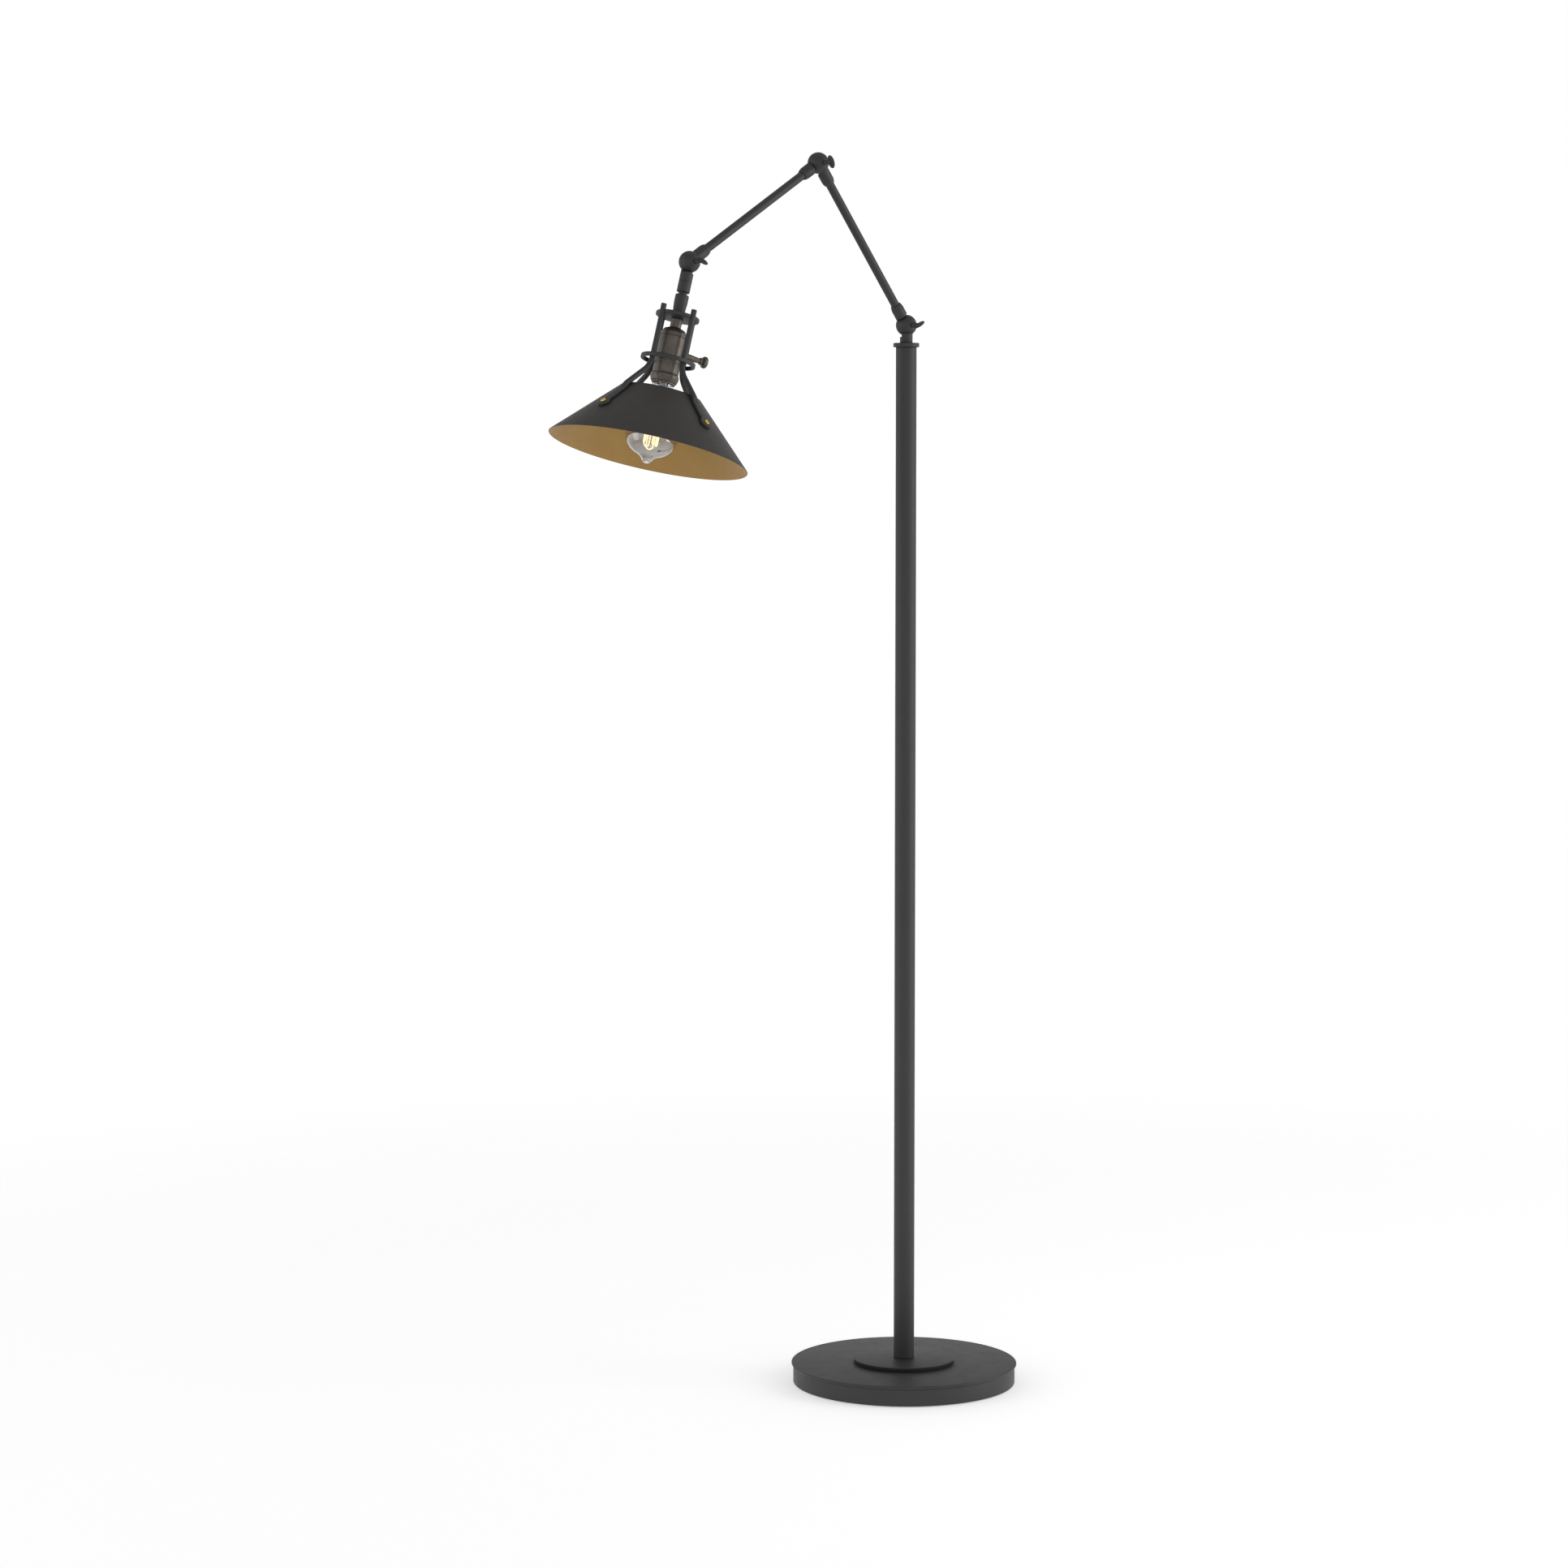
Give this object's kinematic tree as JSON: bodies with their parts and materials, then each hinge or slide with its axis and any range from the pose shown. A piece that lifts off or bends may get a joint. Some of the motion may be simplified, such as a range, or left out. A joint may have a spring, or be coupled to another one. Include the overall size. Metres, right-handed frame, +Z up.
{
  "type": "adjustable arm floor lamp",
  "caption": "Slim post on a round weighted base with a jointed arm, ball knuckles with thumbscrews, and a conical shade hung on bent rods over a clear bulb.",
  "frame": {"origin": "centre of the base's underside, on the floor, on the post's axis", "axes": "+Z up along the post; the arm reaches towards -X; the arm's hinges lie along Y and their thumbscrews stand out towards -Y"},
  "size_m": [0.6498, 0.2796, 1.5085],
  "materials": {
    "charcoal_paint": "satin powder coat, charcoal black",
    "cast_weight": "cast iron with a satin charcoal powder coat on its side",
    "shade_paint": "satin charcoal outside, soft gold paint inside",
    "socket_bronze": "dark oil-rubbed bronze plating",
    "rivet_brass": "bright turned brass",
    "contact_brass": "plain pressed brass",
    "zinc_steel": "zinc plate",
    "felt": "dense dark felt",
    "rubber": "matt black",
    "fibre": "vulcanised fibre",
    "phenolic": "moulded phenolic",
    "clear_glass": "clear blown glass",
    "filament": "glowing wire"
  },
  "bodies": {
    "stand": {"felt_pad": "felt", "base_weight": "cast_weight", "base_top_plate": "charcoal_paint", "foot_disc": "charcoal_paint", "post_tube": "charcoal_paint", "post_collar": "charcoal_paint", "tie_pipe": "zinc_steel", "tie_washer": "zinc_steel", "tie_nut": "zinc_steel", "cord_bushing": "rubber", "stand_lead": "rubber"},
    "swivel": {"post_swivel": "charcoal_paint", "lower_friction_washer": "fibre"},
    "lower_arm": {"lower_arm_lower_knuckle": "charcoal_paint", "lower_arm_tube": "charcoal_paint", "lower_arm_upper_knuckle": "charcoal_paint", "lower_arm_lead": "rubber", "elbow_friction_washer": "fibre"},
    "upper_arm": {"upper_arm_lower_knuckle": "charcoal_paint", "upper_arm_tube": "charcoal_paint", "upper_arm_upper_knuckle": "charcoal_paint", "upper_arm_lead": "rubber", "head_friction_washer": "fibre"},
    "head_tilt": {"head_knuckle": "charcoal_paint", "head_knuckle_lead": "rubber"},
    "head": {"swivel_neck": "charcoal_paint", "head_coupling": "charcoal_paint", "yoke_disc": "charcoal_paint", "yoke_ring": "charcoal_paint", "shade": "shade_paint", "shade_leg_1": "charcoal_paint", "shade_leg_2": "charcoal_paint", "shade_leg_3": "charcoal_paint", "shade_leg_4": "charcoal_paint", "rivet_1": "rivet_brass", "rivet_2": "rivet_brass", "rivet_3": "rivet_brass", "rivet_4": "rivet_brass", "socket_nipple": "zinc_steel", "socket_cap": "socket_bronze", "socket_shell": "socket_bronze", "socket_insulator": "phenolic", "socket_screw_shell": "contact_brass", "socket_contact": "contact_brass", "head_lead": "rubber", "bulb_cap": "contact_brass", "bulb_glass": "clear_glass", "bulb_stem": "clear_glass", "bulb_filament": "filament"},
    "switch_knob": {"turn_knob": "socket_bronze"},
    "lower_screw": {"lower_thumbscrew": "charcoal_paint"},
    "elbow_screw": {"elbow_thumbscrew": "charcoal_paint"},
    "head_screw": {"head_thumbscrew": "charcoal_paint"}
  },
  "joints": [
    {"name": "post_turn", "type": "hinge", "parent": "stand", "child": "swivel", "pos_m": [0, 0, 1.2857], "axis": [0, 0, 1], "range_deg": [-170, 170]},
    {"name": "lower_lean", "type": "hinge", "parent": "swivel", "child": "lower_arm", "pos_m": [0, 0, 1.3072], "axis": [0, 1, 0], "range_deg": [-50, 135]},
    {"name": "elbow_fold", "type": "hinge", "parent": "lower_arm", "child": "upper_arm", "pos_m": [-0.14011, 0, 1.49586], "axis": [0, -1, 0], "range_deg": [-180, 18]},
    {"name": "head_lift", "type": "hinge", "parent": "upper_arm", "child": "head_tilt", "pos_m": [-0.33494, 0, 1.37175], "axis": [0, 1, 0], "range_deg": [-60, 140]},
    {"name": "head_turn", "type": "hinge", "parent": "head_tilt", "child": "head", "pos_m": [-0.33494, 0, 1.37175], "axis": [-0.2672, 0, -0.9636], "range_deg": [-170, 170]},
    {"name": "switch_turn", "type": "hinge", "parent": "head", "child": "switch_knob", "pos_m": [-0.36393, 0, 1.26719], "axis": [0.9426, -0.2079, -0.2614], "continuous": true},
    {"name": "lower_screw_turn", "type": "hinge", "parent": "lower_arm", "child": "lower_screw", "pos_m": [0, 0, 1.3072], "axis": [0, -1, 0], "range_deg": [0, 360]},
    {"name": "elbow_screw_turn", "type": "hinge", "parent": "upper_arm", "child": "elbow_screw", "pos_m": [-0.14011, 0, 1.49586], "axis": [0, -1, 0], "range_deg": [0, 360]},
    {"name": "head_screw_turn", "type": "hinge", "parent": "head_tilt", "child": "head_screw", "pos_m": [-0.33494, 0, 1.37175], "axis": [0, -1, 0], "range_deg": [0, 360]}
  ]
}
